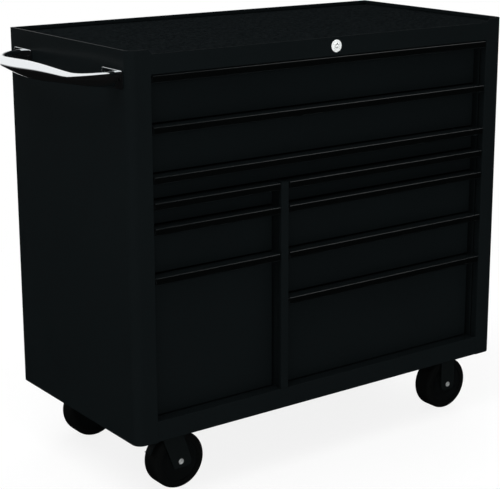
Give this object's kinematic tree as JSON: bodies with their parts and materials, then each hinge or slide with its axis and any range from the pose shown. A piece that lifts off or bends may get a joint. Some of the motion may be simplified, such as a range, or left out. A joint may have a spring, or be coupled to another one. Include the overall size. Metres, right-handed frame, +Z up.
{
  "type": "rolling tool cabinet",
  "caption": "Wide steel tool cabinet with full-width drawers over two banks of drawers, full-length pulls, matted top tray, bowed side handle and rolling casters.",
  "frame": {"origin": "middle of the whole footprint, side handle and lock included, on the floor", "axes": "+X to the right as seen from the drawers' side, -Y out of the drawer fronts, +Z up"},
  "size_m": [1.1056, 0.501, 0.9665],
  "materials": {
    "cabinet_paint": "satin black powder coat",
    "pull_paint": "satin black",
    "caster_paint": "black, semi-gloss",
    "zinc_steel": "bright zinc plate",
    "bright_steel": "bright zinc plate",
    "chrome": "polished chrome plate",
    "lock_chrome": "chrome plate",
    "mat_rubber": "fine pebbled non-slip sheet",
    "wheel_rubber": "matte black"
  },
  "bodies": {
    "cabinet": {"side_panel_left": "cabinet_paint", "side_panel_right": "cabinet_paint", "back_panel": "cabinet_paint", "base_pan": "cabinet_paint", "top_panel": "cabinet_paint", "top_mat": "mat_rubber", "top_rail": "cabinet_paint", "bottom_rail": "cabinet_paint", "divider": "cabinet_paint", "slide_uprights": "cabinet_paint", "cabinet_slides": "zinc_steel", "side_handle": "chrome", "mounting_bolts": "zinc_steel", "lock_housing": "lock_chrome", "swivel_plates": "caster_paint", "rigid_brackets": "caster_paint", "rigid_axles": "bright_steel"},
    "drawer_full_1": {"drawer_full_1_box": "cabinet_paint", "drawer_full_1_pull": "pull_paint", "drawer_full_1_runners": "zinc_steel"},
    "drawer_full_2": {"drawer_full_2_box": "cabinet_paint", "drawer_full_2_pull": "pull_paint", "drawer_full_2_runners": "zinc_steel"},
    "drawer_full_3": {"drawer_full_3_box": "cabinet_paint", "drawer_full_3_pull": "pull_paint", "drawer_full_3_runners": "zinc_steel"},
    "drawer_left_1": {"drawer_left_1_box": "cabinet_paint", "drawer_left_1_pull": "pull_paint", "drawer_left_1_runners": "zinc_steel"},
    "drawer_left_2": {"drawer_left_2_box": "cabinet_paint", "drawer_left_2_pull": "pull_paint", "drawer_left_2_runners": "zinc_steel"},
    "drawer_left_3": {"drawer_left_3_box": "cabinet_paint", "drawer_left_3_pull": "pull_paint", "drawer_left_3_runners": "zinc_steel"},
    "drawer_right_1": {"drawer_right_1_box": "cabinet_paint", "drawer_right_1_pull": "pull_paint", "drawer_right_1_runners": "zinc_steel"},
    "drawer_right_2": {"drawer_right_2_box": "cabinet_paint", "drawer_right_2_pull": "pull_paint", "drawer_right_2_runners": "zinc_steel"},
    "drawer_right_3": {"drawer_right_3_box": "cabinet_paint", "drawer_right_3_pull": "pull_paint", "drawer_right_3_runners": "zinc_steel"},
    "drawer_right_4": {"drawer_right_4_box": "cabinet_paint", "drawer_right_4_pull": "pull_paint", "drawer_right_4_runners": "zinc_steel"},
    "lock_cylinder": {"lock_plug": "lock_chrome", "lock_rod": "zinc_steel"},
    "lock_bar": {"lock_bar": "zinc_steel"},
    "swivel_front": {"fork_front": "caster_paint", "fork_axle_front": "bright_steel"},
    "wheel_front_left": {"wheel_front_left": "wheel_rubber"},
    "wheel_front_right": {"wheel_front_right": "wheel_rubber"},
    "brake_front": {"brake_pedal_front": "caster_paint"},
    "swivel_rear": {"fork_rear": "caster_paint", "fork_axle_rear": "bright_steel"},
    "wheel_rear_left": {"wheel_rear_left": "wheel_rubber"},
    "wheel_rear_right": {"wheel_rear_right": "wheel_rubber"},
    "brake_rear": {"brake_pedal_rear": "caster_paint"}
  },
  "joints": [
    {"name": "drawer_full_1_slide", "type": "slide", "parent": "cabinet", "child": "drawer_full_1", "axis": [0, -1, 0], "range_m": [0, 0.33]},
    {"name": "drawer_full_2_slide", "type": "slide", "parent": "cabinet", "child": "drawer_full_2", "axis": [0, -1, 0], "range_m": [0, 0.33]},
    {"name": "drawer_full_3_slide", "type": "slide", "parent": "cabinet", "child": "drawer_full_3", "axis": [0, -1, 0], "range_m": [0, 0.33]},
    {"name": "drawer_left_1_slide", "type": "slide", "parent": "cabinet", "child": "drawer_left_1", "axis": [0, -1, 0], "range_m": [0, 0.33]},
    {"name": "drawer_left_2_slide", "type": "slide", "parent": "cabinet", "child": "drawer_left_2", "axis": [0, -1, 0], "range_m": [0, 0.33]},
    {"name": "drawer_left_3_slide", "type": "slide", "parent": "cabinet", "child": "drawer_left_3", "axis": [0, -1, 0], "range_m": [0, 0.33]},
    {"name": "drawer_right_1_slide", "type": "slide", "parent": "cabinet", "child": "drawer_right_1", "axis": [0, -1, 0], "range_m": [0, 0.33]},
    {"name": "drawer_right_2_slide", "type": "slide", "parent": "cabinet", "child": "drawer_right_2", "axis": [0, -1, 0], "range_m": [0, 0.33]},
    {"name": "drawer_right_3_slide", "type": "slide", "parent": "cabinet", "child": "drawer_right_3", "axis": [0, -1, 0], "range_m": [0, 0.33]},
    {"name": "drawer_right_4_slide", "type": "slide", "parent": "cabinet", "child": "drawer_right_4", "axis": [0, -1, 0], "range_m": [0, 0.33]},
    {"name": "lock_turn", "type": "hinge", "parent": "cabinet", "child": "lock_cylinder", "pos_m": [0.0523, -0.2475, 0.938], "axis": [0, -1, 0], "range_deg": [0, 90]},
    {"name": "lock_bar_lift", "type": "slide", "parent": "cabinet", "child": "lock_bar", "axis": [0, 0, 1], "range_m": [0, 0.01414]},
    {"name": "swivel_front_turn", "type": "hinge", "parent": "cabinet", "child": "swivel_front", "pos_m": [-0.3622, -0.1675, 0.1465], "axis": [0, 0, 1], "continuous": true},
    {"name": "wheel_front_left_spin", "type": "hinge", "parent": "swivel_front", "child": "wheel_front_left", "pos_m": [-0.3246, -0.1675, 0.0635], "axis": [0, 1, 0], "continuous": true},
    {"name": "wheel_front_right_spin", "type": "hinge", "parent": "cabinet", "child": "wheel_front_right", "pos_m": [0.4603, -0.1675, 0.0635], "axis": [0, 1, 0], "continuous": true},
    {"name": "brake_front_press", "type": "hinge", "parent": "swivel_front", "child": "brake_front", "pos_m": [-0.3562, -0.1675, 0.1275], "axis": [0, -1, 0], "range_deg": [0, 4.5]},
    {"name": "swivel_rear_turn", "type": "hinge", "parent": "cabinet", "child": "swivel_rear", "pos_m": [-0.3622, 0.1965, 0.1465], "axis": [0, 0, 1], "continuous": true},
    {"name": "wheel_rear_left_spin", "type": "hinge", "parent": "swivel_rear", "child": "wheel_rear_left", "pos_m": [-0.3246, 0.1965, 0.0635], "axis": [0, 1, 0], "continuous": true},
    {"name": "wheel_rear_right_spin", "type": "hinge", "parent": "cabinet", "child": "wheel_rear_right", "pos_m": [0.4603, 0.1965, 0.0635], "axis": [0, 1, 0], "continuous": true},
    {"name": "brake_rear_press", "type": "hinge", "parent": "swivel_rear", "child": "brake_rear", "pos_m": [-0.3562, 0.1965, 0.1275], "axis": [0, -1, 0], "range_deg": [0, 4.5]}
  ],
  "couplings": [
    {"joint": "lock_turn", "follows": "lock_bar_lift", "rad_per_m": 111.07}
  ]
}
